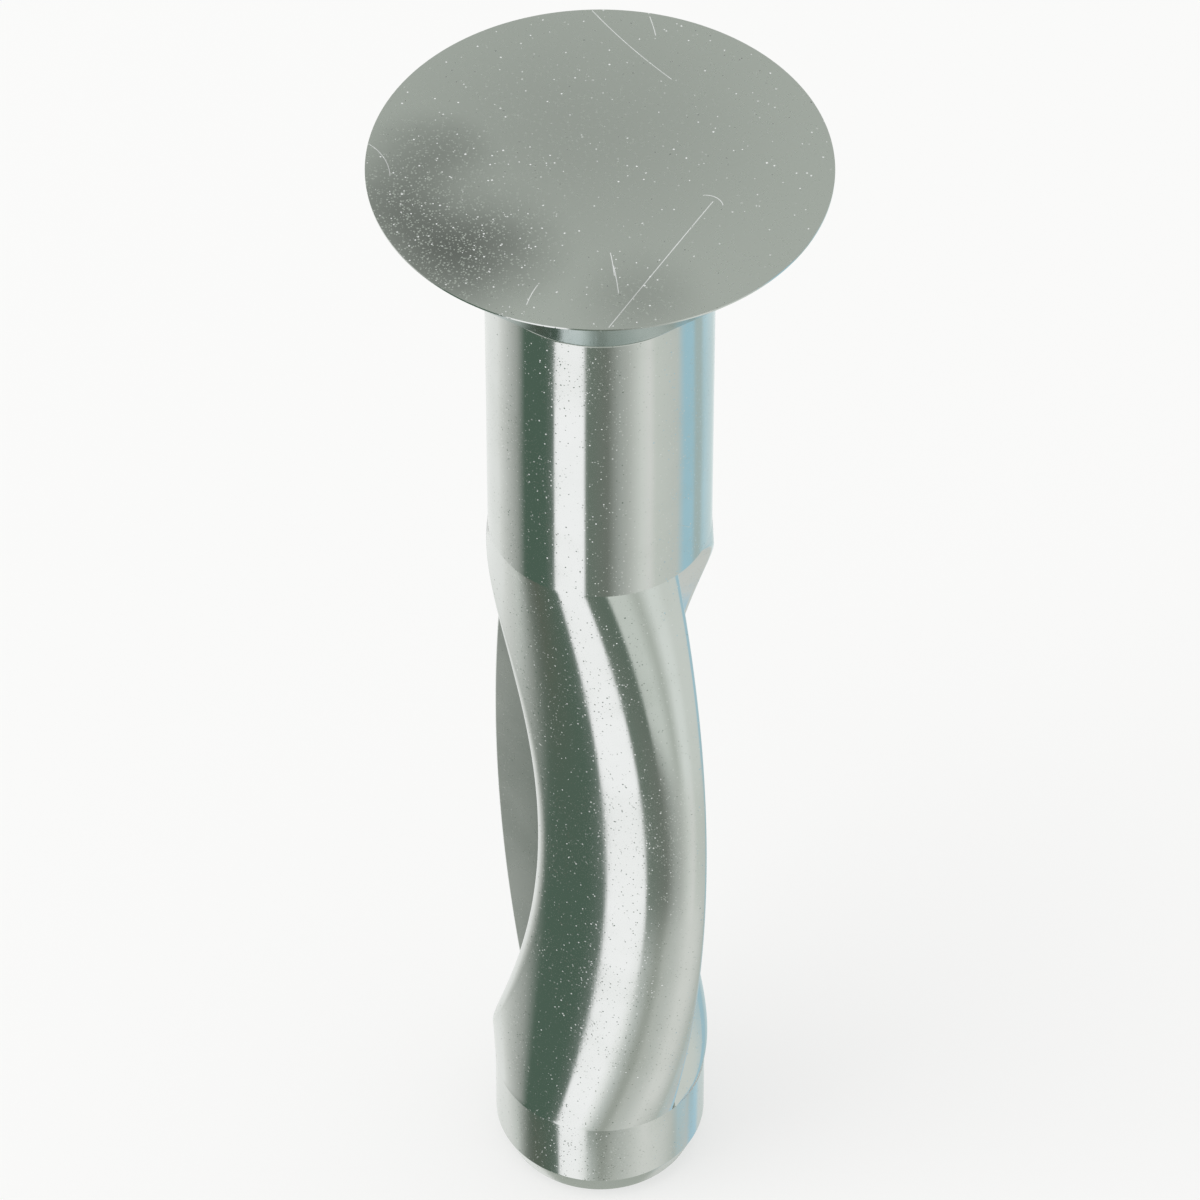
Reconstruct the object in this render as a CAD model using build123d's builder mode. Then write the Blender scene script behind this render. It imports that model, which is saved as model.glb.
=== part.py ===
"""Split-drive anchor: a one-piece steel pin with a flat countersunk head and a split, bowed shank.

The pin is hammered into a drilled hole. Its shank is split lengthwise over part of its length, and the
two legs are pressed sideways along the split, in opposite directions. The hole squeezes the legs back
towards the axis, and their spring grips its wall.

Frame: millimetres, +Z up, origin at the centre of the flat end of the tip. The split lies in the XZ
plane. The leg on the -Y side bows towards +X, and the leg on the +Y side towards -X.
"""

import os
from math import radians, sqrt, tan

from build123d import *

# ---- Driving dimensions -------------------------------------------------------------------------

shank_diameter = 6.35          # nominal drill size, 1/4 in
head_diameter = 12.7           # 1/2 in, over the rim
head_angle = 82.0              # included angle of the countersunk underside, degrees
rim_land = 0.05                # upright edge left on the rim

plain_length = 9.75            # full-round shank between the head and the split
split_length = 23.2            # from the upper crease of the legs to the lower one
tip_length = 3.15              # full-round tip below the split
tip_chamfer_length = 0.8       # along the axis
tip_chamfer_depth = 0.32       # radially

leading_bow = 1.225            # how far a leg's leading edge stands outside the shank at mid-split
back_flattening = 0.547        # how far its round back is pressed in towards the split at mid-split
trailing_cut = 2.92            # how far its trailing side is cut in from the shank, at the deepest
trailing_lift = 0.34           # the deepest point of that cut is this far above mid-split
trailing_run_in = 0.3          # the cut starts this far above the lower crease
trailing_rounding = 0.45        # radius between the trailing side and the round back
split_gap = 0.05               # between the flats of the two legs

section_count = 13             # half-oval sections that each leg is lofted through

# ---- Worked out from them -----------------------------------------------------------------------

shank_radius = shank_diameter / 2
head_radius = head_diameter / 2
cone_height = (head_radius - shank_radius) / tan(radians(head_angle / 2))

lower_crease = tip_length
upper_crease = lower_crease + split_length
mid_split = (lower_crease + upper_crease) / 2
head_bottom = upper_crease + plain_length
rim_bottom = head_bottom + cone_height
head_top = rim_bottom + rim_land


def bow(height, rise):
    """How far an edge has moved at a height: a circular arc from crease to crease."""
    half_length = split_length / 2
    arc_radius = (half_length**2 + rise**2) / (2 * rise)
    return sqrt(arc_radius**2 - (height - mid_split) ** 2) - (arc_radius - rise)


# ---- One leg ------------------------------------------------------------------------------------

with BuildPart() as leg:
    # Half-oval sections, with their flat in the split plane.
    for section in range(section_count):
        height = lower_crease + split_length * section / (section_count - 1)
        with BuildSketch(Plane.XY.offset(height)):
            with BuildLine():
                EllipticalCenterArc(
                    center=(0, 0),
                    x_radius=shank_radius + bow(height, leading_bow),
                    y_radius=shank_radius - bow(height, back_flattening),
                    start_angle=180,
                    arc_size=180,
                )
                Line(
                    (shank_radius + bow(height, leading_bow), 0),
                    (-shank_radius - bow(height, leading_bow), 0),
                )
            make_face()
    loft()

    # The trailing side, cut back along an arc that starts just above the lower crease and is
    # symmetrical about its deepest point, so that it runs out at the upper one.
    cut_bottom = lower_crease + trailing_run_in
    cut_top = 2 * (mid_split + trailing_lift) - cut_bottom
    cut_start = -shank_radius - bow(cut_bottom, leading_bow)
    outer_side = -2 * shank_radius
    with BuildSketch(Plane.XZ):
        with BuildLine():
            ThreePointArc(
                (cut_start, cut_bottom),
                (-shank_radius + trailing_cut, mid_split + trailing_lift),
                (cut_start, cut_top),
            )
            Polyline(
                (cut_start, cut_top),
                (outer_side, cut_top),
                (outer_side, cut_bottom),
                (cut_start, cut_bottom),
            )
        make_face()
    extrude(amount=shank_diameter, mode=Mode.SUBTRACT)

    # The long edge between that side and the round back is eased.
    fillet(leg.edges().sort_by(SortBy.LENGTH)[-1], radius=trailing_rounding)

# ---- The whole pin ------------------------------------------------------------------------------

with BuildPart() as anchor:
    # Turned tip, with its chamfered flat end.
    with BuildSketch(Plane.XZ):
        with BuildLine():
            Polyline(
                (0, 0),
                (shank_radius - tip_chamfer_depth, 0),
                (shank_radius, tip_chamfer_length),
                (shank_radius, lower_crease),
                (0, lower_crease),
                close=True,
            )
        make_face()
    revolve(axis=Axis.Z)

    # Plain shank and countersunk head.
    with BuildSketch(Plane.XZ):
        with BuildLine():
            Polyline(
                (0, upper_crease),
                (shank_radius, upper_crease),
                (shank_radius, head_bottom),
                (head_radius, rim_bottom),
                (head_radius, head_top),
                (0, head_top),
                close=True,
            )
        make_face()
    revolve(axis=Axis.Z)

    # The two legs, the second turned half a turn from the first.
    add(leg.part)
    add(leg.part.rotate(Axis.Z, 180))

    # The split, from crease to crease and right through the legs.
    with BuildSketch(Plane.XY.offset(lower_crease)):
        Rectangle(2 * (shank_diameter + leading_bow), split_gap)
    extrude(amount=split_length, mode=Mode.SUBTRACT)

anchor.part.label = "anchor"

os.makedirs("parts", exist_ok=True)
export_step(anchor.part, "parts/anchor.step")
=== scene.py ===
"""Split-drive anchor in clear zinc, on a pale floor, inside a studio light tent.

The anchor is one piece of cold-formed steel: a flat countersunk head, a round shank, two legs that bow
sideways along their split, and a round tip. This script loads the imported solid, makes a finer skin of the
same sizes over it, plates that skin, and sets the floor, the tent, the lamp and the camera.
"""

import logging
import math
from dataclasses import dataclass
from enum import Enum
from typing import Any

import bmesh
import bpy
from mathutils import Matrix, Vector


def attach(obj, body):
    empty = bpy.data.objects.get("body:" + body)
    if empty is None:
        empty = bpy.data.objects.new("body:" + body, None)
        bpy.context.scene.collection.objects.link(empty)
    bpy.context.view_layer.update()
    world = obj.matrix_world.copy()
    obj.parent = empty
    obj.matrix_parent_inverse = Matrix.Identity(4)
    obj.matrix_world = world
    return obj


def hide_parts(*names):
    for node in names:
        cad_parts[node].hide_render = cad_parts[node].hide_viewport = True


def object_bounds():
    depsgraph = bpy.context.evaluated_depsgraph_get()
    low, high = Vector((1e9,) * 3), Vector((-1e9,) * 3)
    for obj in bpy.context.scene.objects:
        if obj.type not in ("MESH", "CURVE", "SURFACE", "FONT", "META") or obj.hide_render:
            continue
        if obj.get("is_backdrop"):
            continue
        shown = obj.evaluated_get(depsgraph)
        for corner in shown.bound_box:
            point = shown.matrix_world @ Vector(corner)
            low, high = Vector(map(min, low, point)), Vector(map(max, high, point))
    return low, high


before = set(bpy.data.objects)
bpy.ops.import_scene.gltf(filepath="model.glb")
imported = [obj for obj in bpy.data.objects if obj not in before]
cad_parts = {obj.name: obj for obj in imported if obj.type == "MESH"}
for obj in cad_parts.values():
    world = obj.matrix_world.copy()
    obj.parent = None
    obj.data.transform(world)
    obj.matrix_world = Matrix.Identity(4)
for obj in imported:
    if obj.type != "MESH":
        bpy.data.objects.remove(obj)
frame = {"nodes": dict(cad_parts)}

LOG = logging.getLogger("anchor")
MM = 0.001  # the sizes below are in millimetres, and Blender's unit is the metre

MATH = "ShaderNodeMath"
VECTOR = "ShaderNodeVectorMath"
# A Mix or Compare node has several inputs of one name, so these are known by their numbers.
NUMBER_A, NUMBER_B = 2, 3
COLOUR_A, COLOUR_B, COLOUR_OUT = 6, 7, 2

# What an input of a node can get.
Source = bpy.types.Node | bpy.types.NodeSocket | float | tuple[float, ...]


# ---- Small helpers ------------------------------------------------------------------------------


def linear(hex_colour: str) -> tuple[float, float, float, float]:
    """Turn an sRGB hex colour into the linear values that a socket takes.

    Args:
        hex_colour: Six hex digits after a hash sign.

    Returns:
        Red, green, blue and alpha, linear.
    """
    digits = hex_colour.lstrip("#")
    channels = [int(digits[i : i + 2], 16) / 255 for i in (0, 2, 4)]
    red, green, blue = (c / 12.92 if c <= 0.04045 else ((c + 0.055) / 1.055) ** 2.4 for c in channels)
    return red, green, blue, 1.0


def add_node(tree: bpy.types.NodeTree, kind: str, inputs: Any = (), **settings: Any) -> bpy.types.Node:
    """Add a node to a tree with its settings, values and links.

    Args:
        tree: A shader or geometry node tree.
        kind: The node's type, as Blender names it.
        inputs: What each input gets, in their order or by name or number. A socket is linked, a node is
            linked by its first output, and anything else is set.
        **settings: Attributes to set on the node.

    Returns:
        The new node.
    """
    node = tree.nodes.new(kind)
    for name, value in settings.items():
        setattr(node, name, value)
    for key, value in (inputs if isinstance(inputs, dict) else dict(enumerate(inputs))).items():
        source = value.outputs[0] if isinstance(value, bpy.types.Node) else value
        if isinstance(source, bpy.types.NodeSocket):
            tree.links.new(source, node.inputs[key])
        else:
            node.inputs[key].default_value = source
    return node


def blank_material(name: str) -> bpy.types.Material:
    """Make a material whose node tree is empty.

    Args:
        name: The material's name.

    Returns:
        The material.
    """
    made = bpy.data.materials.new(name)
    made.use_nodes = True
    made.node_tree.nodes.clear()
    return made


def scene_object(name: str, data: bpy.types.ID) -> bpy.types.Object:
    """Put a mesh, a lamp or a camera in the scene, at the origin.

    Args:
        name: The object's name.
        data: What the object holds.

    Returns:
        The new object.
    """
    made = bpy.data.objects.new(name, data)
    bpy.context.scene.collection.objects.link(made)
    return made


def mesh_object(name: str, build: bmesh.types.BMesh) -> bpy.types.Object:
    """Turn a finished bmesh into an object at the origin of the scene.

    Args:
        name: The object's name.
        build: The mesh, which is freed.

    Returns:
        The new object.
    """
    mesh = bpy.data.meshes.new(name)
    build.to_mesh(mesh)
    build.free()
    return scene_object(name, mesh)


# ---- Finishes -----------------------------------------------------------------------------------


class Surface(Enum):
    """The surfaces of the anchor, which differ in how they were made; the underside of the head also carries
    painted shade.
    """

    TURNED = 0
    STRUCK = 1
    SHEARED = 2
    # the underside of the head is painted darker and cooler, as painted shade
    UPSET_WITH_PAINTED_SHADE = 3  # the underside of the head


@dataclass(frozen=True)
class Scratch:
    """One scratch at its own place on the head, in millimetres, seen from above.

    It bulges by so much to the left of the way from start to end.
    """

    start: tuple[float, float]
    end: tuple[float, float]
    bulge: float = 0.01
    width: float = 0.024

    def arc(self) -> tuple[Vector, float, float, float]:
        """Work out the circle that the scratch is a part of.

        Returns:
            The centre, the radius, the turn to the middle of the scratch, and half of its sweep.
        """
        start, end = Vector(self.start), Vector(self.end)
        half = (end - start).length / 2
        radius = (half**2 + self.bulge**2) / (2 * abs(self.bulge))
        left = Vector((start.y - end.y, end.x - start.x)).normalized() * math.copysign(1.0, self.bulge)
        centre = (start + end) / 2 - left * (radius - abs(self.bulge))
        return centre, radius, math.atan2(left.y, left.x), math.asin(min(half / radius, 1.0))


@dataclass(frozen=True)
class HairScratches:
    """One set of short, straight scratches that all run about one way."""

    turn: float  # degrees
    seed: float  # shifts the pattern, so that two sets differ


@dataclass(frozen=True)
class Stain:
    """One dark, crystalline patch of the plating on the head, in millimetres, seen from above."""

    centre: tuple[float, float]
    radius: float
    depth: float


@dataclass(frozen=True)
class ClearZinc:
    """Clear bright zinc on cold-formed steel.

    To the eye it is a cool grey mirror, a little hazy. Fine crystals in the plating lean a few degrees
    each way, and a few of them farther, so that they glint near the edge of anything bright. Cloudy
    patches show where the passivate is thicker, and hair scratches where the part was handled. Lengths
    are in millimetres.
    """

    name: str
    hue: str = "#ECEEED"
    cloud_hue: str = "#E0E3E0"
    edge_hue: str = "#FFFFFF"  # at a glancing angle
    cloud_amount: float = 0.4
    cloud_size: float = 3.0
    cloud_from: float = 0.36
    cloud_to: float = 0.66
    roughness: float = 0.095
    cloud_roughness: float = 0.045
    crystal_spacing: float = 0.055
    crystal_size: float = 0.032  # real crystals are finer; drawn as coarse as they need to show
    crystal_share: float = 0.9
    crystals_apart: float = 0.3  # of that share, where they are thinnest
    crystals_crowded: float = 0.9  # what the thickest patches add
    crystal_roughness: float = 0.1
    crystal_tilt: float = 0.75
    steep_rarity: float = 2.5  # the higher it is, the fewer crystals lean far
    draw_line_spacing: float = 0.05
    draw_line_changes: float = 0.12  # for each millimetre along the shank
    draw_line_depth: float = 0.00025
    ripple_size: float = 0.9
    ripple_depth: float = 0.0004
    scratch_sets: tuple[HairScratches, ...] = (
        HairScratches(turn=25.0, seed=3.1),
        HairScratches(turn=118.0, seed=7.7),
    )
    scratch_length: float = 0.9
    scratch_width: float = 0.022
    scratch_depth: float = 0.0012
    scratch_share: float = 0.3
    scratch_roughness: float = 0.42
    marks: tuple[Scratch, ...] = ()
    mark_lean: float = 0.22
    stains: tuple[Stain, ...] = ()
    stain_hue: str = "#1C201C"
    stain_stir: float = 1.5  # how far a stain's outline wanders
    stain_crowding: float = 1.6  # how fast the crystals thicken as a stain darkens

    def crystals(self, tree: bpy.types.NodeTree, place: Source, crowd: Source) -> tuple[Source, Source]:
        """Scatter the plating's crystals, thicker in some patches.

        Args:
            tree: The material's tree.
            place: Object coordinates in millimetres.
            crowd: How much the crystals crowd at a place, from 0 to 1.

        Returns:
            A mask, 1 on a crystal, and the way that each crystal leans.
        """
        cells = add_node(
            tree, "ShaderNodeTexVoronoi", {"Vector": place, "Scale": 1 / self.crystal_spacing}
        )
        chance = add_node(tree, "ShaderNodeSeparateColor", (cells.outputs["Color"],))
        apart = self.crystals_apart * self.crystal_share
        crowded = self.crystals_crowded * self.crystal_share
        share = add_node(tree, MATH, (crowd, crowded, apart), operation="MULTIPLY_ADD")
        chosen = add_node(tree, MATH, (chance.outputs["Red"], share), operation="LESS_THAN")
        radius = 0.5 * self.crystal_size / self.crystal_spacing
        smallest, spread = 0.45 * radius, 1.1 * radius
        limit = add_node(tree, MATH, (chance.outputs["Green"], spread, smallest), operation="MULTIPLY_ADD")
        inside = add_node(tree, MATH, (cells.outputs["Distance"], limit), operation="LESS_THAN")
        mask = add_node(tree, MATH, (chosen, inside), operation="MULTIPLY")
        dice = add_node(tree, "ShaderNodeTexWhiteNoise", (cells.outputs["Position"],)).outputs["Color"]
        middle = add_node(tree, VECTOR, (dice, (0.5, 0.5, 0.5)), operation="SUBTRACT")
        seldom = add_node(tree, MATH, (chance.outputs["Blue"], self.steep_rarity), operation="POWER")
        steepness = add_node(tree, MATH, (seldom, self.crystal_tilt), operation="MULTIPLY")
        lean = add_node(tree, VECTOR, {0: middle, "Scale": steepness}, operation="SCALE")
        return mask, lean

    def scratches(self, tree: bpy.types.NodeTree, place: Source) -> Source:
        """Scatter the hair scratches of every set.

        Args:
            tree: The material's tree.
            place: Object coordinates in millimetres.

        Returns:
            A mask, 1 in a scratch.
        """
        reach = 0.07  # how near the middle of a cell a scratch stays, as a share of the cell
        along = 2 * reach / self.scratch_length
        across = 2 * reach / self.scratch_width
        scratched = 0.0
        for one in self.scratch_sets:
            angle = math.radians(one.turn)
            turned = add_node(
                tree,
                "ShaderNodeMapping",
                {
                    "Vector": place,
                    "Location": (one.seed, 2 * one.seed, 3 * one.seed),
                    "Rotation": (0.6 * angle, 0.8 * angle, angle),  # slantwise to every surface
                },
            )
            stretched = add_node(
                tree, "ShaderNodeMapping", {"Vector": turned, "Scale": (along, across, across)}
            )
            cells = add_node(tree, "ShaderNodeTexVoronoi", {"Vector": stretched, "Scale": 1.0})
            chance = add_node(tree, "ShaderNodeSeparateColor", (cells.outputs["Color"],))
            chosen = add_node(tree, MATH, (chance.outputs["Red"], self.scratch_share), operation="LESS_THAN")
            inside = add_node(tree, MATH, (cells.outputs["Distance"], reach), operation="LESS_THAN")
            drawn = add_node(tree, MATH, (chosen, inside), operation="MULTIPLY")
            scratched = add_node(tree, MATH, (scratched, drawn), operation="MAXIMUM")
        return scratched

    def mark(self, tree: bpy.types.NodeTree, place: Source, scratch: Scratch) -> Source:
        """Draw one scratch at its own place on the head.

        Args:
            tree: The material's tree.
            place: Object coordinates in millimetres.
            scratch: Where it runs.

        Returns:
            A mask, 1 in the scratch.
        """
        centre, radius, turn, half_sweep = scratch.arc()
        from_centre = add_node(tree, VECTOR, (place, (centre.x, centre.y, 0.0)), operation="SUBTRACT")
        turned = add_node(
            tree, "ShaderNodeMapping", {"Vector": from_centre, "Rotation": (0.0, 0.0, -turn)}
        )
        level = add_node(tree, VECTOR, (turned, (1.0, 1.0, 0.0)), operation="MULTIPLY")
        reach = add_node(tree, VECTOR, (level,), operation="LENGTH").outputs["Value"]
        on_line = add_node(tree, MATH, (reach, radius, scratch.width / 2), operation="COMPARE")
        parts = add_node(tree, "ShaderNodeSeparateXYZ", (level,)).outputs
        swing = add_node(tree, MATH, (parts["Y"], parts["X"]), operation="ARCTAN2")
        in_sweep = add_node(tree, MATH, (swing, 0.0, half_sweep), operation="COMPARE")
        return add_node(tree, MATH, (on_line, in_sweep), operation="MULTIPLY")

    def stain(self, tree: bpy.types.NodeTree, place: Source, stain: Stain) -> Source:
        """Lay one dark patch at its own place on the head.

        Args:
            tree: The material's tree.
            place: Object coordinates in millimetres, stirred a little.
            stain: Where it lies.

        Returns:
            How dark the plating is there, from 0 to 1.
        """
        level = add_node(tree, VECTOR, (place, (1.0, 1.0, 0.0)), operation="MULTIPLY")
        away = add_node(tree, VECTOR, (level, (*stain.centre, 0.0)), operation="DISTANCE").outputs["Value"]
        return add_node(
            tree,
            "ShaderNodeMapRange",
            {"Value": away, "From Min": stain.radius, "From Max": 0.0, "To Max": stain.depth},
            interpolation_type="SMOOTHSTEP",
        )

    def colour(
        self, tree: bpy.types.NodeTree, patches: Source, stained: Source, crystals: Source
    ) -> Source:
        """Mix the plating's colour: cloudy in patches, and dark in a stain between its crystals.

        Args:
            tree: The material's tree.
            patches: How cloudy the plating is at a place, from 0 to 1.
            stained: How dark it is there.
            crystals: The crystals' mask.

        Returns:
            The colour.
        """
        cloudy = add_node(tree, MATH, (patches, self.cloud_amount), operation="MULTIPLY")
        hues = {"Factor": cloudy, COLOUR_A: linear(self.hue), COLOUR_B: linear(self.cloud_hue)}
        hue = add_node(tree, "ShaderNodeMix", hues, data_type="RGBA").outputs[COLOUR_OUT]
        if self.stains:
            clear = add_node(tree, MATH, (1.0, crystals), operation="SUBTRACT")
            dark = add_node(tree, MATH, (stained, clear), operation="MULTIPLY", use_clamp=True)
            hues = {"Factor": dark, COLOUR_A: hue, COLOUR_B: linear(self.stain_hue)}
            hue = add_node(tree, "ShaderNodeMix", hues, data_type="RGBA").outputs[COLOUR_OUT]
        return hue

    def haze(
        self, tree: bpy.types.NodeTree, patches: Source, scratched: Source, crystals: Source
    ) -> Source:
        """Work out the roughness: hazier in the patches, matt in a scratch, even on a crystal.

        Args:
            tree: The material's tree.
            patches: How cloudy the plating is at a place, from 0 to 1.
            scratched: The hair scratches' mask.
            crystals: The crystals' mask.

        Returns:
            The roughness.
        """
        levels = (patches, self.cloud_roughness, self.roughness)
        smooth = add_node(tree, MATH, levels, operation="MULTIPLY_ADD")
        matt = add_node(tree, MATH, (scratched, self.scratch_roughness), operation="MULTIPLY")
        ground = add_node(tree, MATH, (smooth, matt), operation="MAXIMUM")
        mixed = {"Factor": crystals, NUMBER_A: ground, NUMBER_B: self.crystal_roughness}
        return add_node(tree, "ShaderNodeMix", mixed)

    def relief(self, tree: bpy.types.NodeTree, place: Source, scratched: Source) -> Source:
        """Raise the fine relief: drawing lines, ripples and hair scratches.

        Args:
            tree: The material's tree.
            place: Object coordinates in millimetres.
            scratched: The hair scratches' mask.

        Returns:
            The way that the surface faces.
        """
        # Drawing lines run along the shank: fine across it, long along it.
        fine = 1 / self.draw_line_spacing
        drawn = add_node(
            tree, "ShaderNodeMapping", {"Vector": place, "Scale": (fine, fine, self.draw_line_changes)}
        )
        lines = add_node(tree, "ShaderNodeTexNoise", {"Vector": drawn, "Scale": 1.0, "Detail": 2.0})
        ripple = add_node(
            tree, "ShaderNodeTexNoise", {"Vector": place, "Scale": 1 / self.ripple_size, "Detail": 2.0}
        )
        low = add_node(tree, MATH, (lines, self.draw_line_depth), operation="MULTIPLY")
        wavy = add_node(tree, MATH, (ripple, self.ripple_depth, low), operation="MULTIPLY_ADD")
        height = add_node(tree, MATH, (scratched, -self.scratch_depth, wavy), operation="MULTIPLY_ADD")
        return add_node(tree, "ShaderNodeBump", {"Strength": 1.0, "Distance": MM, "Height": height})

    def marked_lean(self, tree: bpy.types.NodeTree, place: Source, leaning: Source) -> Source:
        """Add the head's own scratches, each by the lean of the side that faces the room.

        Args:
            tree: The material's tree.
            place: Object coordinates in millimetres.
            leaning: The lean of the crystals.

        Returns:
            The lean of the crystals and the scratches.
        """
        marked = 0.0
        for scratch in self.marks:
            marked = add_node(tree, MATH, (marked, self.mark(tree, place, scratch)), operation="MAXIMUM")
        lean_of_side = (self.mark_lean, -self.mark_lean, 0.0)
        side = add_node(tree, VECTOR, {0: lean_of_side, "Scale": marked}, operation="SCALE")
        return add_node(tree, VECTOR, (leaning, side), operation="ADD")

    def material(self) -> bpy.types.Material:
        """Build the finish as a node material.

        Returns:
            The material.
        """
        made = blank_material(self.name)
        tree = made.node_tree
        metres = add_node(tree, "ShaderNodeTexCoord").outputs["Object"]
        place = add_node(tree, "ShaderNodeMapping", {"Vector": metres, "Scale": (1 / MM, 1 / MM, 1 / MM)})
        cloud = add_node(
            tree,
            "ShaderNodeTexNoise",
            {
                "Vector": place,
                "Scale": 1 / self.cloud_size,
                "Detail": 4.0,
                "Roughness": 0.55,
                "Distortion": 0.3,
            },
        )
        patches = add_node(
            tree,
            "ShaderNodeMapRange",
            {"Value": cloud, "From Min": self.cloud_from, "From Max": self.cloud_to},
            interpolation_type="SMOOTHSTEP",
        )

        # The cloud's noise stirs the stains' outlines.
        stirring = add_node(tree, VECTOR, (cloud.outputs["Color"], (0.5, 0.5, 0.5)), operation="SUBTRACT")
        stir = (self.stain_stir, self.stain_stir, 0.0)
        stirred = add_node(tree, VECTOR, (stirring, stir, place), operation="MULTIPLY_ADD")
        crowd, stained = patches, 0.0
        for stain in self.stains:
            stained = add_node(tree, MATH, (stained, self.stain(tree, stirred, stain)), operation="ADD")
        if self.stains:
            crowding = (stained, self.stain_crowding)
            crowd = add_node(tree, MATH, crowding, operation="MULTIPLY", use_clamp=True)

        crystals, lean = self.crystals(tree, place, crowd)
        scratched = self.scratches(tree, place)
        leaning = add_node(tree, VECTOR, {0: lean, "Scale": crystals}, operation="SCALE")
        if self.marks:
            leaning = self.marked_lean(tree, place, leaning)
        facing = add_node(tree, VECTOR, (self.relief(tree, place, scratched), leaning), operation="ADD")
        shader = add_node(
            tree,
            "ShaderNodeBsdfPrincipled",
            {
                "Base Color": self.colour(tree, patches, stained, crystals),
                "Metallic": 1.0,
                "Roughness": self.haze(tree, patches, scratched, crystals),
                "Specular Tint": linear(self.edge_hue),
                "Normal": add_node(tree, VECTOR, (facing,), operation="NORMALIZE"),
            },
        )
        add_node(tree, "ShaderNodeOutputMaterial", {"Surface": shader})
        return made


FINISHES = {
    # Bright and smooth, so it mirrors what stands round it.
    Surface.TURNED: ClearZinc(name="clear_zinc_on_drawn_shank"),
    # Satin from the die, with dark stains between its crystals and the scratches of handling.
    Surface.STRUCK: ClearZinc(
        name="clear_zinc_on_struck_head",
        roughness=0.28,
        cloud_roughness=0.06,
        cloud_amount=0.25,
        cloud_size=4.0,
        crystal_spacing=0.07,
        crystal_size=0.042,
        crystal_share=0.8,
        crystal_roughness=0.2,
        crystal_tilt=1.5,
        draw_line_depth=0.0,
        scratch_share=0.05,
        stains=(
            Stain(centre=(-0.4, -5.3), radius=3.5, depth=0.62),
            Stain(centre=(-3.6, -2.9), radius=2.2, depth=0.3),
            Stain(centre=(-3.2, -5.0), radius=2.4, depth=0.36),
            Stain(centre=(-1.6, 0.1), radius=7.5, depth=0.16),
            Stain(centre=(4.4, -3.0), radius=2.4, depth=0.22),
        ),
        marks=(
            Scratch(start=(4.6, -4.26), end=(3.13, 1.17)),
            Scratch(start=(3.43, 1.25), end=(2.77, 1.15), bulge=-0.14),
            Scratch(start=(-3.72, -4.29), end=(-5.06, -3.81), bulge=-0.15),
            Scratch(start=(-4.62, 4.3), end=(-1.09, 3.85), bulge=-0.08),
            Scratch(start=(-3.33, 5.25), end=(-2.66, 4.81)),
            Scratch(start=(3.01, -2.49), end=(3.86, -3.15)),
            Scratch(start=(2.6, -2.2), end=(3.3, -2.75)),
            Scratch(start=(2.45, -5.19), end=(2.09, -4.36), bulge=0.03),
        ),
    ),
    # Duller and darker, where the blade parted the metal.
    Surface.SHEARED: ClearZinc(
        name="clear_zinc_on_sheared_flat",
        hue="#CACDCA",
        cloud_hue="#BEC2BE",
        roughness=0.26,
        cloud_roughness=0.1,
        crystal_share=0.25,
    ),
    # As smooth as the shank; its darker, cooler colours are painted shade under the head.
    Surface.UPSET_WITH_PAINTED_SHADE: ClearZinc(
        name="clear_zinc_with_painted_shade_under_head",
        # painted shade: base, cloud and edge colours darker and cooler than the shank's, for the shade under
        # the head
        hue="#B8C5C5",
        cloud_hue="#B0BDBD",
        edge_hue="#D4DEDD",
    ),
}


# ---- The anchor ---------------------------------------------------------------------------------


class Zone(Enum):
    """The stretches of a leg's outline, from its leading edge to its trailing edge."""

    LEADING = 0
    BACK = 1
    ROUNDING = 2
    TRAILING = 3


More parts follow.
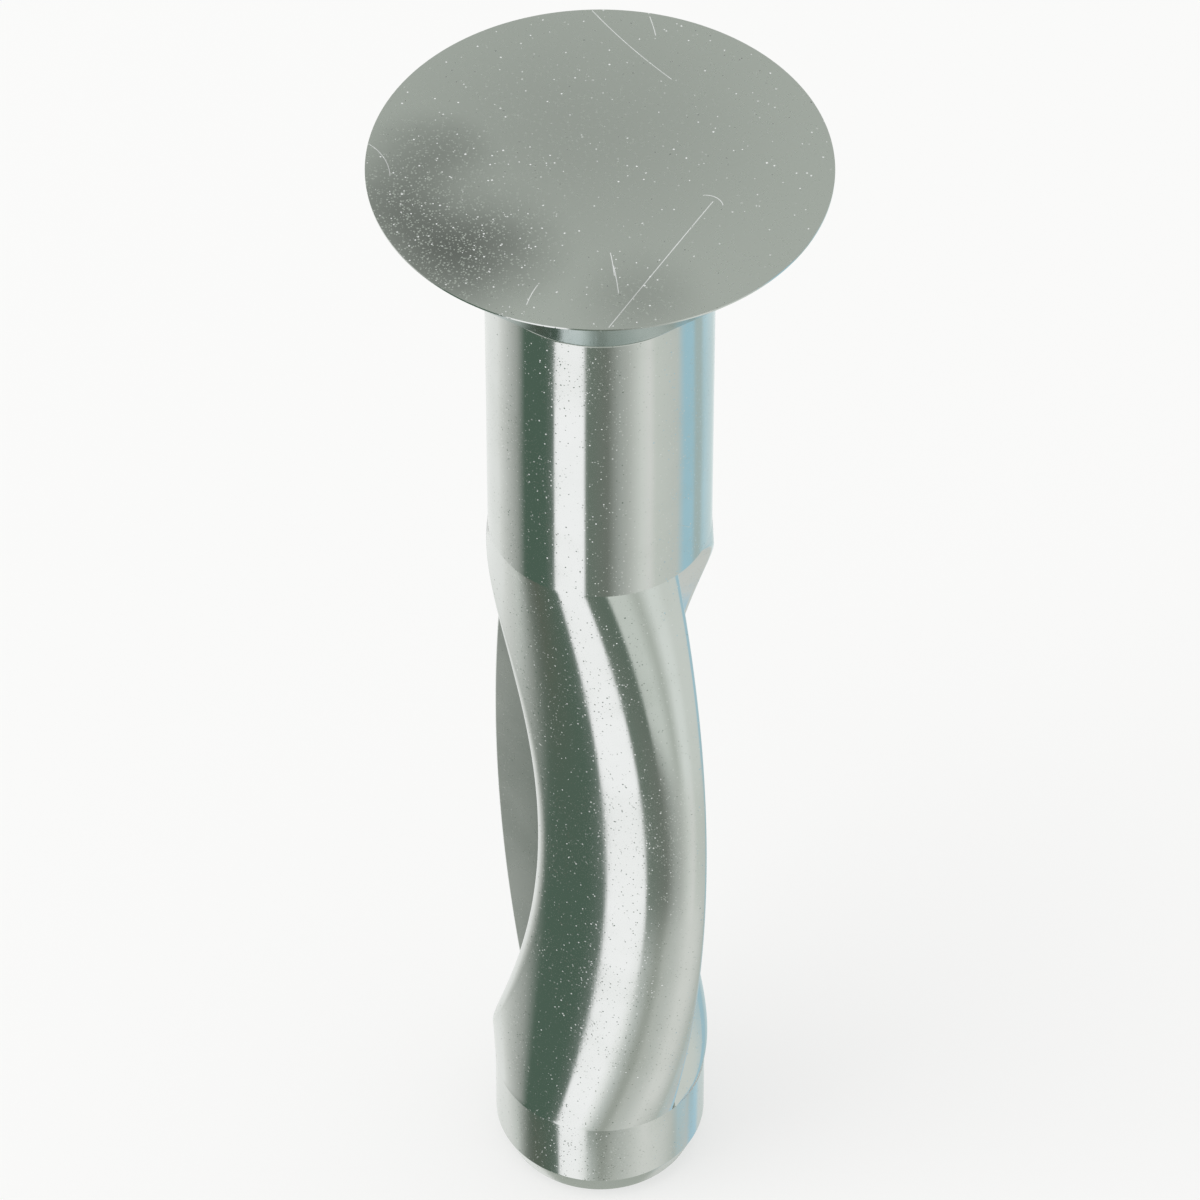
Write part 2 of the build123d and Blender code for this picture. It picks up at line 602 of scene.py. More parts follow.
@dataclass
class Anchor:
    """The anchor's skin: turned ends, and two bowed legs between them, sizes in millimetres."""

    shank_radius: float = 3.175
    head_radius: float = 6.35
    head_angle: float = 82.0
    rim_land: float = 0.05
    plain_length: float = 9.75
    split_length: float = 23.2
    tip_length: float = 3.15
    tip_chamfer_length: float = 0.8
    tip_chamfer_depth: float = 0.32
    leading_bow: float = 1.29
    back_flattening: float = 0.547
    trailing_cut: float = 2.89
    trailing_lift: float = 0.23
    trailing_run_in: float = 0.08
    trailing_rounding: float = 0.6
    split_gap: float = 0.05
    flat_edge_radius: float = 0.08  # the worn edges of a leg's flat
    junction_radius: float = 0.15
    chamfer_edge_radius: float = 0.08
    back_steps: int = 84
    rounding_steps: int = 12
    edge_steps: int = 4
    height_steps: int = 150
    corner_steps: int = 6  # along a rounded corner of a turned profile
    widest_step: float = 3.0  # degrees between the corners of a turned ring
    collar: float = 0.1  # the ring next to a crease stands this far from it
    sharp_angle: float = 25.0  # degrees between two faces, past which their edge stays crisp
    tolerance: float = 0.001  # points nearer than this to a crease are on it
    weld_distance: float = 0.0005

    @property
    def mid_split(self) -> float:
        """Height of the middle of the split."""
        return self.tip_length + self.split_length / 2

    @property
    def upper_crease(self) -> float:
        """Height of the upper crease, where the legs leave the plain shank."""
        return self.tip_length + self.split_length

    @property
    def head_bottom(self) -> float:
        """Height at which the cone starts."""
        return self.upper_crease + self.plain_length

    @property
    def rim_bottom(self) -> float:
        """Height at which the cone reaches its full width."""
        slope = math.tan(math.radians(self.head_angle / 2))
        return self.head_bottom + (self.head_radius - self.shank_radius) / slope

    @property
    def head_top(self) -> float:
        """Height of the struck face."""
        return self.rim_bottom + self.rim_land

    def trailing_arc(self) -> tuple[float, float, float]:
        """Work out the arc that the trailing side is cut along.

        It starts on the bowed leg's side, just above the lower crease, and is deepest a little above
        mid-split.

        Returns:
            The height of its middle, and its chord and rise from the shank's side.
        """
        middle = self.mid_split + self.trailing_lift
        half = middle - (self.tip_length + self.trailing_run_in)
        half_split = self.split_length / 2
        bow_radius = (half_split**2 + self.leading_bow**2) / (2 * self.leading_bow)
        start_height = half_split - self.trailing_run_in
        bulge = math.sqrt(bow_radius**2 - start_height**2) - (bow_radius - self.leading_bow)
        depth = self.trailing_cut + bulge
        radius = (half**2 + depth**2) / (2 * depth)
        chord = 2 * math.sqrt(2 * radius * self.trailing_cut - self.trailing_cut**2)
        return middle, chord, self.trailing_cut

    def outline_shares(self) -> list[tuple[Zone, float]]:
        """Divide a leg's outline into points, from its leading edge to its trailing edge.

        Returns:
            The zone that each point is in, and its share of the way through that zone.
        """
        shares = [(Zone.LEADING, i / self.edge_steps) for i in range(self.edge_steps)]
        shares += [(Zone.BACK, i / self.back_steps) for i in range(self.back_steps)]
        shares += [(Zone.ROUNDING, i / self.rounding_steps) for i in range(self.rounding_steps + 1)]
        shares += [(Zone.TRAILING, i / self.edge_steps) for i in range(self.edge_steps + 1)]
        return shares

    def straight_leg(self) -> bpy.types.Object:
        """Make one leg as a plain half-round bar, open at both ends, before it is shaped.

        Returns:
            The bar, with the zone and share of each point kept on it.
        """
        build = bmesh.new()
        zones = build.verts.layers.int.new("zone")
        shares = build.verts.layers.float.new("share")
        outline = self.outline_shares()
        rings = []
        for level in range(self.height_steps + 1):
            height = self.tip_length + self.split_length * level / self.height_steps
            ring = []
            for i, (zone, share) in enumerate(outline):
                turn = -math.pi * i / (len(outline) - 1)
                x, y = self.shank_radius * math.cos(turn), self.shank_radius * math.sin(turn)
                point = build.verts.new(Vector((x, y, height)) * MM)
                point[zones] = zone.value
                point[shares] = share
                ring.append(point)
            rings.append(ring)
        for lower, upper in zip(rings, rings[1:]):
            for i in range(len(outline)):
                j = (i + 1) % len(outline)
                build.faces.new((lower[i], lower[j], upper[j], upper[i]))
        return mesh_object("straight_leg", build)

    def bow_group(self) -> bpy.types.NodeTree:
        """Build the node group that gives an edge's shift at a height: an arc over a chord.

        Returns:
            The group.
        """
        group = bpy.data.node_groups.new("edge bow", "GeometryNodeTree")
        for name in ("Height", "Middle", "Chord", "Rise"):
            group.interface.new_socket(name, in_out="INPUT", socket_type="NodeSocketFloat")
        group.interface.new_socket("Shift", in_out="OUTPUT", socket_type="NodeSocketFloat")
        given = add_node(group, "NodeGroupInput").outputs
        rise = given["Rise"]
        half = add_node(group, MATH, (given["Chord"], 0.5), operation="MULTIPLY")
        rise_squared = add_node(group, MATH, (rise, rise), operation="MULTIPLY")
        squares = add_node(group, MATH, (half, half, rise_squared), operation="MULTIPLY_ADD")
        double_rise = add_node(group, MATH, (rise, 2.0), operation="MULTIPLY")
        radius = add_node(group, MATH, (squares, double_rise), operation="DIVIDE")
        away = add_node(group, MATH, (given["Height"], given["Middle"]), operation="SUBTRACT")
        away_squared = add_node(group, MATH, (away, away), operation="MULTIPLY")
        radius_squared = add_node(group, MATH, (radius, radius), operation="MULTIPLY")
        left = add_node(group, MATH, (radius_squared, away_squared), operation="SUBTRACT")
        out = add_node(group, MATH, (left,), operation="SQRT")
        centre = add_node(group, MATH, (radius, rise), operation="SUBTRACT")
        shift = add_node(group, MATH, (out, centre), operation="SUBTRACT")
        add_node(group, "NodeGroupOutput", {"Shift": shift})
        return group

    def on_oval(
        self,
        tree: bpy.types.NodeTree,
        centre: tuple[Source, Source],
        radii: tuple[Source, Source],
        turn: Source,
    ) -> tuple[Source, Source]:
        """Work out the point of an oval at an angle.

        Args:
            tree: The geometry tree.
            centre: The oval's centre, x and y.
            radii: Its radii, along x and y.
            turn: The angle, in radians.

        Returns:
            The point's x and y.
        """
        cosine = add_node(tree, MATH, (turn,), operation="COSINE")
        sine = add_node(tree, MATH, (turn,), operation="SINE")
        x = add_node(tree, MATH, (radii[0], cosine, centre[0]), operation="MULTIPLY_ADD")
        y = add_node(tree, MATH, (radii[1], sine, centre[1]), operation="MULTIPLY_ADD")
        return x, y

    def edge_shifts(
        self, tree: bpy.types.NodeTree, given: bpy.types.bpy_prop_collection, height: Source
    ) -> dict[str, Source]:
        """Work out how far each edge of a leg is shifted at a height.

        Args:
            tree: The geometry tree.
            given: The tree's named sizes.
            height: The point's height.

        Returns:
            The shifts of the leading edge, the back and the trailing edge.
        """
        group = self.bow_group()
        shifts = {}
        for edge, middle, chord in (
            ("Leading", "Middle", "Split Length"),
            ("Back", "Middle", "Split Length"),
            ("Trailing", "Trailing Middle", "Trailing Chord"),
        ):
            arc = {
                "Height": height,
                "Middle": given[middle],
                "Chord": given[chord],
                "Rise": given[f"{edge} Rise"],
            }
            shifts[edge] = add_node(tree, "GeometryNodeGroup", arc, node_tree=group)
        return shifts

    def outline_places(
        self,
        tree: bpy.types.NodeTree,
        given: bpy.types.bpy_prop_collection,
        height: Source,
        share: Source,
    ) -> dict[Zone, tuple[Source, Source]]:
        """Work out where a leg's outline runs at a height, zone by zone.

        Args:
            tree: The geometry tree.
            given: The tree's named sizes.
            height: The point's height.
            share: The point's share of the way through its zone.

        Returns:
            The x and y of the point in each zone.
        """
        shifts = self.edge_shifts(tree, given, height)
        shank, rounding, worn = given["Shank Radius"], given["Rounding"], given["Flat Edge"]

        # The round back: an oval, wider than the shank and pressed in.
        wide = add_node(tree, MATH, (shank, shifts["Leading"]), operation="ADD")
        deep = add_node(tree, MATH, (shank, shifts["Back"]), operation="SUBTRACT")
        cut = add_node(tree, MATH, (shifts["Trailing"], shank), operation="SUBTRACT")
        mouth = add_node(tree, MATH, (given["Half Gap"], worn), operation="ADD")

        # The rounding lies inside the oval, and touches it and the cut side.
        inner_wide = add_node(tree, MATH, (wide, rounding), operation="SUBTRACT")
        inner_deep = add_node(tree, MATH, (deep, rounding), operation="SUBTRACT")
        to_cut = add_node(tree, MATH, (cut, rounding), operation="ADD")
        wanted = add_node(tree, MATH, (to_cut, inner_wide), operation="DIVIDE")
        low_sine = add_node(tree, MATH, (mouth, inner_deep), operation="DIVIDE")
        low_square = add_node(tree, MATH, (low_sine, low_sine), operation="MULTIPLY")
        low_rest = add_node(tree, MATH, (1.0, low_square), operation="SUBTRACT")
        low_root = add_node(tree, MATH, (low_rest,), operation="SQRT")
        lowest = add_node(tree, MATH, (low_root, -1.0), operation="MULTIPLY")
        cosine = add_node(tree, MATH, (wanted, lowest), operation="MAXIMUM")
        last_turn = add_node(tree, MATH, (cosine,), operation="ARCCOSINE")
        sine = add_node(tree, MATH, (last_turn,), operation="SINE")
        rounding_x = add_node(tree, MATH, (inner_wide, cosine), operation="MULTIPLY")
        inner_rise = add_node(tree, MATH, (inner_deep, sine), operation="MULTIPLY")
        rounding_y = add_node(tree, MATH, (inner_rise, -1.0), operation="MULTIPLY")

        first_sine = add_node(tree, MATH, (mouth, deep), operation="DIVIDE")
        first_turn = add_node(tree, MATH, (first_sine,), operation="ARCSINE")
        sweep = add_node(tree, MATH, (last_turn, first_turn), operation="SUBTRACT")
        back_turn = add_node(tree, MATH, (sweep, share, first_turn), operation="MULTIPLY_ADD")
        back_down = add_node(tree, MATH, (back_turn, -1.0), operation="MULTIPLY")

        slope_x = add_node(tree, MATH, (cosine, wide), operation="DIVIDE")
        slope_y = add_node(tree, MATH, (sine, deep), operation="DIVIDE")
        slope_down = add_node(tree, MATH, (slope_y, -1.0), operation="MULTIPLY")
        facing = add_node(tree, MATH, (slope_down, slope_x), operation="ARCTAN2")
        to_side = add_node(tree, MATH, (-math.pi, facing), operation="SUBTRACT")
        rounding_turn = add_node(tree, MATH, (to_side, share, facing), operation="MULTIPLY_ADD")

        # The worn edges of the flat.
        first_cosine = add_node(tree, MATH, (first_turn,), operation="COSINE")
        leading_x = add_node(tree, MATH, (wide, first_cosine), operation="MULTIPLY")
        leading_centre = add_node(tree, MATH, (leading_x, worn), operation="SUBTRACT")
        side_x = add_node(tree, MATH, (rounding_x, rounding), operation="SUBTRACT")
        trailing_centre = add_node(tree, MATH, (side_x, worn), operation="ADD")
        below_flat = add_node(tree, MATH, (mouth, -1.0), operation="MULTIPLY")
        leading_turn = add_node(tree, MATH, (share, -math.pi / 2, math.pi / 2), operation="MULTIPLY_ADD")
        trailing_turn = add_node(tree, MATH, (share, -math.pi / 2, math.pi), operation="MULTIPLY_ADD")

        return {
            Zone.LEADING: self.on_oval(tree, (leading_centre, below_flat), (worn, worn), leading_turn),
            Zone.BACK: self.on_oval(tree, (0.0, 0.0), (wide, deep), back_down),
            Zone.ROUNDING: self.on_oval(tree, (rounding_x, rounding_y), (rounding, rounding), rounding_turn),
            Zone.TRAILING: self.on_oval(tree, (trailing_centre, below_flat), (worn, worn), trailing_turn),
        }

    def legs_tree(self, finish: bpy.types.Material, sizes: dict[str, float]) -> bpy.types.NodeTree:
        """Build the tree that shapes the straight leg and adds the second one, half a turn round.

        Args:
            finish: The material of the legs.
            sizes: The tree's named sizes.

        Returns:
            The tree.
        """
        tree = bpy.data.node_groups.new("bowed legs", "GeometryNodeTree")
        tree.interface.new_socket("Leg", in_out="INPUT", socket_type="NodeSocketGeometry")
        for name in sizes:
            tree.interface.new_socket(name, in_out="INPUT", socket_type="NodeSocketFloat")
        tree.interface.new_socket("Legs", in_out="OUTPUT", socket_type="NodeSocketGeometry")
        given = add_node(tree, "NodeGroupInput").outputs
        position = add_node(tree, "GeometryNodeInputPosition")
        height = add_node(tree, "ShaderNodeSeparateXYZ", (position,)).outputs["Z"]
        share = add_node(tree, "GeometryNodeInputNamedAttribute", {"Name": "share"})
        zone_of = add_node(tree, "GeometryNodeInputNamedAttribute", {"Name": "zone"}, data_type="INT")
        leg = given["Leg"]
        for zone, (x, y) in self.outline_places(tree, given, height, share).items():
            chosen = add_node(
                tree,
                "FunctionNodeCompare",
                {NUMBER_A: zone_of, NUMBER_B: zone.value},
                data_type="INT",
                operation="EQUAL",
            )
            place = add_node(tree, "ShaderNodeCombineXYZ", (x, y, height))
            leg = add_node(tree, "GeometryNodeSetPosition", (leg, chosen, place))
        for name in ("share", "zone"):
            leg = add_node(tree, "GeometryNodeRemoveAttribute", {"Geometry": leg, "Name": name})
        turned = add_node(tree, "GeometryNodeTransform", {"Geometry": leg, "Rotation": (0.0, 0.0, math.pi)})
        both = add_node(tree, "GeometryNodeJoinGeometry", (leg,))
        tree.links.new(turned.outputs[0], both.inputs[0])
        real = add_node(tree, "GeometryNodeRealizeInstances", (both,))
        dressed = add_node(tree, "GeometryNodeSetMaterial", {"Geometry": real, "Material": finish})
        add_node(tree, "NodeGroupOutput", {"Legs": dressed})
        return tree

    def bowed_legs(self, finish: bpy.types.Material) -> bpy.types.Mesh:
        """Shape the legs with the node tree and return them as a plain mesh.

        Args:
            finish: The material of the legs.

        Returns:
            Both legs, open at both ends.
        """
        trailing_middle, trailing_chord, trailing_rise = self.trailing_arc()
        sizes = {
            "Shank Radius": self.shank_radius,
            "Middle": self.mid_split,
            "Split Length": self.split_length,
            "Leading Rise": self.leading_bow,
            "Back Rise": self.back_flattening,
            "Trailing Middle": trailing_middle,
            "Trailing Chord": trailing_chord,
            "Trailing Rise": trailing_rise,
            "Rounding": self.trailing_rounding,
            "Flat Edge": self.flat_edge_radius,
            "Half Gap": self.split_gap / 2,
        }
        leg = self.straight_leg()
        tree = self.legs_tree(finish, sizes)
        modifier = leg.modifiers.new("bow", "NODES")
        modifier.node_group = tree
        for item in tree.interface.items_tree:
            if item.in_out == "INPUT" and item.name in sizes:
                modifier[item.identifier] = sizes[item.name] * MM
        settled = leg.evaluated_get(bpy.context.evaluated_depsgraph_get())
        legs = bpy.data.meshes.new_from_object(settled)
        leg.modifiers.remove(modifier)
        bpy.data.objects.remove(leg)
        return legs

    def crease_turns(self, build: bmesh.types.BMesh, height: float) -> list[float]:
        """Find where a turned ring needs corners, so that it meets the legs at a crease.

        Args:
            build: The mesh with the legs in it.
            height: The height of the crease.

        Returns:
            Angles about the axis, in radians: the legs' corners on the shank's surface, and enough
            others to keep the ring round.
        """
        turns = {0.0, math.pi}
        for point in build.verts:
            x, y, z = point.co / MM
            on_shank = abs(math.hypot(x, y) - self.shank_radius) < self.weld_distance
            if on_shank and abs(z - height) < self.tolerance:
                turns.add(round(math.atan2(y, x) % math.tau, 7))  # so that no corner counts twice
        turned = sorted(turns)
        filled = []
        for here, after in zip(turned, [*turned[1:], math.tau]):
            steps = math.ceil((after - here) / math.radians(self.widest_step))
            filled += [here + (after - here) * i / steps for i in range(steps)]
        return filled

    def lathe(self, build: bmesh.types.BMesh, profile: list[tuple[float, float]]) -> None:
        """Turn a profile about the axis, from a crease to its closed end on the axis.

        Args:
            build: The mesh to add to.
            profile: Radius and height of each ring, from the crease. Only the last lies on the axis.
        """
        turns = self.crease_turns(build, profile[0][1])
        rings = []
        for radius, height in profile[:-1]:
            ring = [Vector((radius * math.cos(turn), radius * math.sin(turn), height)) for turn in turns]
            rings.append([build.verts.new(place * MM) for place in ring])
        for first, second in zip(rings, rings[1:]):
            for i in range(len(turns)):
                j = (i + 1) % len(turns)
                build.faces.new((first[i], first[j], second[j], second[i]))
        centre = build.verts.new(Vector((0.0, 0.0, profile[-1][1])) * MM)
        last = rings[-1]
        for i in range(len(turns)):
            build.faces.new((last[i], last[(i + 1) % len(turns)], centre))

    def rounded(
        self,
        before: tuple[float, float],
        corner: tuple[float, float],
        after: tuple[float, float],
        radius: float,
    ) -> list[tuple[float, float]]:
        """Round one corner of a profile with an arc.

        Args:
            before: The point before the corner.
            corner: The corner.
            after: The point after it.
            radius: The arc's radius.

        Returns:
            Points of the arc, which replace the corner.
        """
        here = Vector(corner)
        one = (Vector(before) - here).normalized()
        other = (Vector(after) - here).normalized()
        half = one.angle(other) / 2
        centre = here + (one + other).normalized() * radius / math.sin(half)
        start = here + one * radius / math.tan(half) - centre
        end = here + other * radius / math.tan(half) - centre
        sweep = start.angle_signed(end)
        points = []
        for i in range(self.corner_steps + 1):
            turned = start.copy()
            turned.rotate(Matrix.Rotation(-sweep * i / self.corner_steps, 2))
            points.append(tuple(centre + turned))
        return points

    def turned_ends(self, build: bmesh.types.BMesh) -> None:
        """Add the head with its plain shank, and the tip.

        Args:
            build: The mesh to add to, with the legs in it.
        """
        radius = self.shank_radius
        crease = (radius, self.upper_crease)
        foot = (radius, self.head_bottom)
        rim = (self.head_radius, self.rim_bottom)
        face_edge = (self.head_radius, self.head_top)
        mid_shank = (radius, self.upper_crease + self.plain_length / 2)
        shank = [crease, (radius, self.upper_crease + self.collar), mid_shank]
        junction = self.rounded(crease, foot, rim, self.junction_radius)
        self.lathe(build, [*shank, *junction, rim, face_edge, (0.0, self.head_top)])

        shoulder = (radius, self.tip_chamfer_length)
        end_edge = (radius - self.tip_chamfer_depth, 0.0)
        low_crease = (radius, self.tip_length)
        sides = [low_crease, (radius, self.tip_length - self.collar)]
        upper = self.rounded(low_crease, shoulder, end_edge, self.chamfer_edge_radius)
        lower = self.rounded(shoulder, end_edge, (0.0, 0.0), self.chamfer_edge_radius)
        self.lathe(build, [*sides, *upper, *lower, (0.0, 0.0)])

    def surface_of(self, face: bmesh.types.BMFace) -> Surface:
        """Tell which surface a face lies on, by its place and the way it faces.

        Args:
            face: A face of the welded mesh.

        Returns:
            Its surface.
        """
        straight, slanting = 0.999, 0.5  # the least parts of a normal along an axis
        middle = face.calc_center_median()
        if face.normal.z > straight and middle.z > self.rim_bottom * MM:
            return Surface.STRUCK
        if abs(face.normal.y) > straight and abs(middle.y) < self.split_gap * MM:
            return Surface.SHEARED
        if face.normal.z < -slanting and middle.z > self.head_bottom * MM:
            return Surface.UPSET_WITH_PAINTED_SHADE
        return Surface.TURNED

    def is_crisp(self, edge: bmesh.types.BMEdge) -> bool:
        """Tell whether an edge stays crisp: along a crease, or where two faces meet at a sharp angle.

        Args:
            edge: An edge of the welded mesh.

        Returns:
            True for a crisp edge.
        """
        heights = [point.co.z / MM for point in edge.verts]
        for crease in (self.tip_length, self.upper_crease):
            if all(abs(height - crease) < self.tolerance for height in heights):
                return True
        return not edge.is_manifold or edge.calc_face_angle(0.0) > math.radians(self.sharp_angle)

    def build(self) -> bpy.types.Object:
        """Make the whole skin as one closed mesh and dress it.

        Returns:
            The anchor, ready to ride on its body.
        """
        finishes = [FINISHES[surface].material() for surface in Surface]
        legs = self.bowed_legs(finishes[Surface.TURNED.value])
        build = bmesh.new()
        build.from_mesh(legs)
        bpy.data.meshes.remove(legs)
        self.turned_ends(build)
        bmesh.ops.remove_doubles(build, verts=build.verts[:], dist=self.weld_distance * MM)
        open_ends = [edge for edge in build.edges if edge.is_boundary]
        bmesh.ops.holes_fill(build, edges=open_ends, sides=0)  # the two ends of the split
        bmesh.ops.recalc_face_normals(build, faces=build.faces[:])
        for face in build.faces:
            face.smooth = True
            face.material_index = self.surface_of(face).value
        for edge in build.edges:
            edge.smooth = not self.is_crisp(edge)
        loose = sum(1 for edge in build.edges if not edge.is_manifold)
        LOG.info("anchor skin: %d faces, %d open edges", len(build.faces), loose)
        skin = mesh_object("anchor_skin", build)
        for finish in finishes:
            skin.data.materials.append(finish)
        return skin


# ---- Studio -------------------------------------------------------------------------------------


@dataclass(frozen=True)
class TentPanel:
    """One upright cloth panel of the light tent, seen only in the metal.

    start and end are angles about the upright axis, in degrees, from the camera's side, positive to the
    right as the camera sees it. The hue may run into another one across the panel. Between two panels
    the cloth changes evenly from one to the next.
    """

    start: float
    end: float
    hue: str
    end_hue: str = ""


@dataclass(frozen=True)
class TentBand:
    """One band of panels round the tent.

    The cloth below turns into the band between two angles above the horizon, in degrees.
    """

    start: float
    end: float
    panels: tuple[TentPanel, ...]


LEFT_PANELS = (
    TentPanel(-180, -126, "#F1F3F1", "#E5E7E4"),
    TentPanel(-122, -93, "#DCDEDA", "#9DA29C"),
    TentPanel(-83, -58, "#506457"),
    TentPanel(-52, -48, "#5D6C62"),
)
WHITE_PANEL = TentPanel(-46.5, -16, "#FFFFFF")


@dataclass
class LightTent:
    """A round tent of white, grey and tinted cloth panels that the bright metal reflects."""

    camera_azimuth: float
    radius: float = 0.7
    foot_hue: str = "#A8AEA6"
    bands: tuple[TentBand, ...] = (
        TentBand(  # mirrored by faces that look down a little
            start=-72.0,
            end=-65.0,
            panels=(
                TentPanel(-180, -122, "#E8EAE7", "#DCDEDA"),
                TentPanel(-106, -99, "#C9CEC8", "#A4A9A3"),
                TentPanel(-90, -86, "#757C73", "#6C726A"),
                TentPanel(-78, -48, "#60665B", "#5A6B60"),
                TentPanel(-46.5, -26, "#FFFFFF"),
                TentPanel(-19, -10, "#EEF0ED", "#C2C7C2"),
                TentPanel(-1, 4, "#A3A8A0"),
                TentPanel(11, 24, "#B8BCB5", "#C2C6C0"),
                TentPanel(48, 64, "#DADCD7"),
                TentPanel(76, 92, "#CFD2CD", "#B6BCB5"),
                TentPanel(98, 114, "#BAC6C4", "#C6C8C3"),
                TentPanel(121, 135, "#A9CBDA"),
                TentPanel(142, 179, "#CED0CB", "#BCC2BD"),
            ),
        ),
        TentBand(  # mirrored by upright faces
            start=-51.5,
            end=-47.5,
            panels=(
                *LEFT_PANELS,
                WHITE_PANEL,
                TentPanel(-14.5, 8, "#6A776C", "#71776F"),
                TentPanel(20, 28, "#A1A6A0", "#B1B5AF"),
                TentPanel(43, 52, "#D4D8D2", "#DCDDD9"),
                TentPanel(59, 86, "#CBD0C9", "#C4C9C3"),
                TentPanel(96, 109, "#A4C8D4"),
                TentPanel(114, 124, "#AABBB9"),
                TentPanel(130, 158, "#B4D0D8", "#CFDDDD"),
                TentPanel(164, 176, "#DCE7E7", "#EFF5F5"),
            ),
        ),
        TentBand(  # mirrored by faces that look up a little
            start=-41.0,
            end=-37.0,
            panels=(
                *LEFT_PANELS,
                WHITE_PANEL,
                TentPanel(-14.5, 5.5, "#5F6E62", "#616F64"),
                TentPanel(8, 22, "#CBD1CA"),
                TentPanel(31, 33, "#B4BAB2"),
                TentPanel(43, 50, "#DCE1DC"),
                TentPanel(57, 73, "#D1D6D0"),
                TentPanel(77, 100, "#A9C8D3"),
                TentPanel(106, 176, "#B4CCD2", "#E6ECEC"),
            ),
        ),
        TentBand(start=-3.0, end=9.0, panels=(TentPanel(-180, 180, "#ABB1A9"),)),  # the roof
        TentBand(start=64.0, end=68.0, panels=(TentPanel(-180, 180, "#FFFFFF"),)),  # its cap
    )

    def cloth(
        self, tree: bpy.types.NodeTree, around: Source, panels: tuple[TentPanel, ...]
    ) -> Source:
        """Lay one band of panels round the tent.

        Args:
            tree: The material's tree.
            around: Share of the way round, 0 behind the camera's left to 1 behind its right.
            panels: The band's panels, in order.

        Returns:
            The band's colour.
        """
        ramp = add_node(tree, "ShaderNodeValToRGB", (around,))
        stops = ramp.color_ramp.elements
        while len(stops) > 1:
            stops.remove(stops[-1])
        stops[0].position = 0.0
        stops[0].color = linear(panels[0].hue)
        for panel in panels:
            for angle, hue in ((panel.start, panel.hue), (panel.end, panel.end_hue or panel.hue)):
                stop = stops.new(0.5 + angle / 360)
                stop.color = linear(hue)
        return ramp

    def material(self) -> bpy.types.Material:
        """Build the cloth as lit fabric without shine: a plain foot, and the bands over it.

        Returns:
            The material.
        """
        made = blank_material("tent_cloth")
        made.cycles.emission_sampling = "NONE"
        tree = made.node_tree
        place = add_node(tree, "ShaderNodeTexCoord").outputs["Object"]
        facing = math.radians(self.camera_azimuth - 90)
        turned = add_node(tree, "ShaderNodeMapping", {"Vector": place, "Rotation": (0.0, 0.0, -facing)})
        around = add_node(tree, "ShaderNodeTexGradient", (turned,), gradient_type="RADIAL").outputs["Fac"]
        height = add_node(tree, "ShaderNodeSeparateXYZ", (place,)).outputs["Z"]
        level = add_node(tree, MATH, (height, self.radius), operation="DIVIDE")
        hue = linear(self.foot_hue)
        for band in self.bands:
            start, end = math.sin(math.radians(band.start)), math.sin(math.radians(band.end))
            share = add_node(
                tree,
                "ShaderNodeMapRange",
                {"Value": level, "From Min": start, "From Max": end},
                interpolation_type="SMOOTHSTEP",
            )
            hues = {"Factor": share, COLOUR_A: hue, COLOUR_B: self.cloth(tree, around, band.panels)}
            hue = add_node(tree, "ShaderNodeMix", hues, data_type="RGBA").outputs[COLOUR_OUT]
        glow = add_node(tree, "ShaderNodeEmission", {"Color": hue, "Strength": 1.0})
        add_node(tree, "ShaderNodeOutputMaterial", {"Surface": glow})
        return made

    def build(self) -> bpy.types.Object:
        """Make the tent as a sphere that only reflections see.

        Returns:
            The tent.
        """
        build = bmesh.new()
        bmesh.ops.create_uvsphere(build, u_segments=96, v_segments=48, radius=self.radius)
        tent = mesh_object("light_tent", build)
        tent.data.materials.append(self.material())
        tent.visible_camera = False
        tent.visible_diffuse = False
        tent.visible_shadow = False
        tent.visible_transmission = False
        tent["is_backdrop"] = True
        return tent


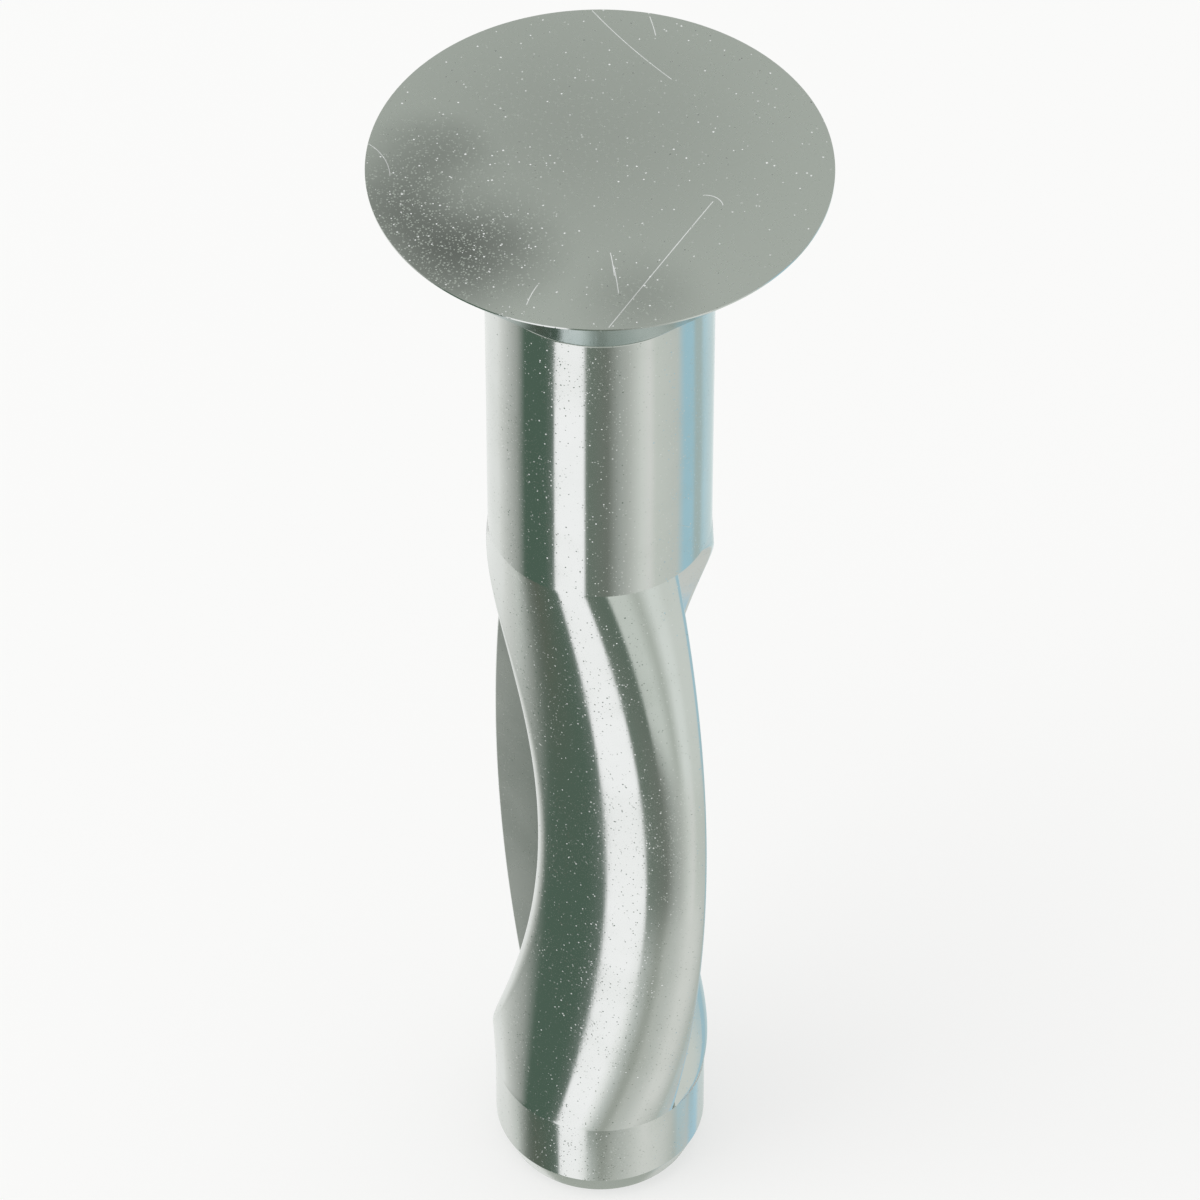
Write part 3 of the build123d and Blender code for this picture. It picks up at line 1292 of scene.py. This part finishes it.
@dataclass
class Studio:
    """The floor, the lamp, the open sky above them and the camera, sizes in millimetres."""

    floor_size: float = 4000.0
    floor_hue: str = "#F4F4F2"
    floor_glow: float = 0.55
    sky_strength: float = 0.85
    lamp_size: float = 350.0
    lamp_out: float = 300.0
    lamp_up: float = 550.0
    lamp_side: float = -70.0  # degrees from the camera, to its left
    lamp_power: float = 0.8
    camera_azimuth: float = 45.1
    camera_pitch: float = 46.04
    camera_out: float = 151.97  # level distance from the anchor's axis
    camera_up: float = 140.72  # height above the head
    focal_length: float = 229.8

    def floor(self) -> bpy.types.Object:
        """Lay the pale floor, matt card that keeps the anchor's shadow.

        Returns:
            The floor.
        """
        build = bmesh.new()
        bmesh.ops.create_grid(build, x_segments=1, y_segments=1, size=self.floor_size / 2 * MM)
        floor = mesh_object("floor", build)
        made = blank_material("pale_card")
        tree = made.node_tree
        card = add_node(tree, "ShaderNodeBsdfDiffuse", {"Color": linear(self.floor_hue)})
        glow = add_node(tree, "ShaderNodeEmission", {"Color": linear("#FFFFFF"), "Strength": 1.0})
        seen = add_node(tree, "ShaderNodeLightPath").outputs["Is Camera Ray"]
        share = add_node(tree, MATH, (seen, self.floor_glow), operation="MULTIPLY")
        surface = add_node(tree, "ShaderNodeMixShader", (share, card, glow))
        add_node(tree, "ShaderNodeOutputMaterial", {"Surface": surface})
        floor.data.materials.append(made)
        floor.visible_glossy = False
        floor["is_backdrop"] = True
        return floor

    def sky(self) -> None:
        """Light the scene evenly from all round with plain white."""
        world = bpy.data.worlds.new("studio")
        world.use_nodes = True
        tree = world.node_tree
        tree.nodes.clear()
        seen = add_node(tree, "ShaderNodeLightPath").outputs["Is Camera Ray"]
        extra = 1.0 - self.sky_strength  # the sky is plain white to the eye
        strength = add_node(tree, MATH, (seen, extra, self.sky_strength), operation="MULTIPLY_ADD")
        white = {"Color": linear("#FFFFFF"), "Strength": strength}
        background = add_node(tree, "ShaderNodeBackground", white)
        add_node(tree, "ShaderNodeOutputWorld", {"Surface": background})
        bpy.context.scene.world = world

    def lamp(self) -> None:
        """Hang one large soft lamp above, behind the camera's left shoulder."""
        light = bpy.data.lights.new("softbox", "AREA")
        light.shape = "SQUARE"
        light.size = self.lamp_size * MM
        light.energy = self.lamp_power
        holder = scene_object("softbox", light)
        angle = math.radians(self.camera_azimuth + self.lamp_side)
        out = Vector((math.sin(angle), -math.cos(angle), 0.0)) * self.lamp_out
        holder.location = (out + Vector((0.0, 0.0, self.lamp_up))) * MM
        holder.rotation_euler = (-holder.location).to_track_quat("-Z", "Y").to_euler()
        holder.visible_glossy = False

    def camera(self, head_top: float) -> None:
        """Set the camera, a long lens that looks down on the head.

        Args:
            head_top: Height of the anchor's head above the floor, in metres.
        """
        data = bpy.data.cameras.new("camera")
        data.lens = self.focal_length
        data.sensor_width = 36.0
        data.clip_start = 0.01
        data.clip_end = 10.0
        holder = scene_object("camera", data)
        angle = math.radians(self.camera_azimuth)
        out = Vector((math.sin(angle), -math.cos(angle), 0.0)) * self.camera_out * MM
        holder.location = out + Vector((0.0, 0.0, head_top + self.camera_up * MM))
        holder.rotation_euler = (math.radians(90 - self.camera_pitch), 0.0, angle)
        bpy.context.scene.camera = holder

    def build(self, head_top: float) -> None:
        """Set up the whole studio.

        Args:
            head_top: Height of the anchor's head above the floor, in metres.
        """
        floor = self.floor()
        self.sky()
        self.lamp()
        self.camera(head_top)
        tent = LightTent(camera_azimuth=self.camera_azimuth).build()
        LOG.info("made %s and %s", floor.name, tent.name)
        bpy.context.scene.view_settings.view_transform = "Standard"


# ---- Making it ----------------------------------------------------------------------------------


def main() -> None:
    """Build the anchor's skin and the studio, with the camera set from the height of the imported solid."""
    logging.basicConfig(level=logging.INFO, format="%(message)s")
    LOG.info("loaded %s", ", ".join(frame["nodes"]))
    solid_box = [list(corner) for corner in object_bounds()]

    skin = Anchor().build()
    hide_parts("anchor")
    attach(skin, "root")
    LOG.info("made %s", skin.name)

    Studio().build(head_top=solid_box[1][2])


if __name__ == "__main__":
    main()
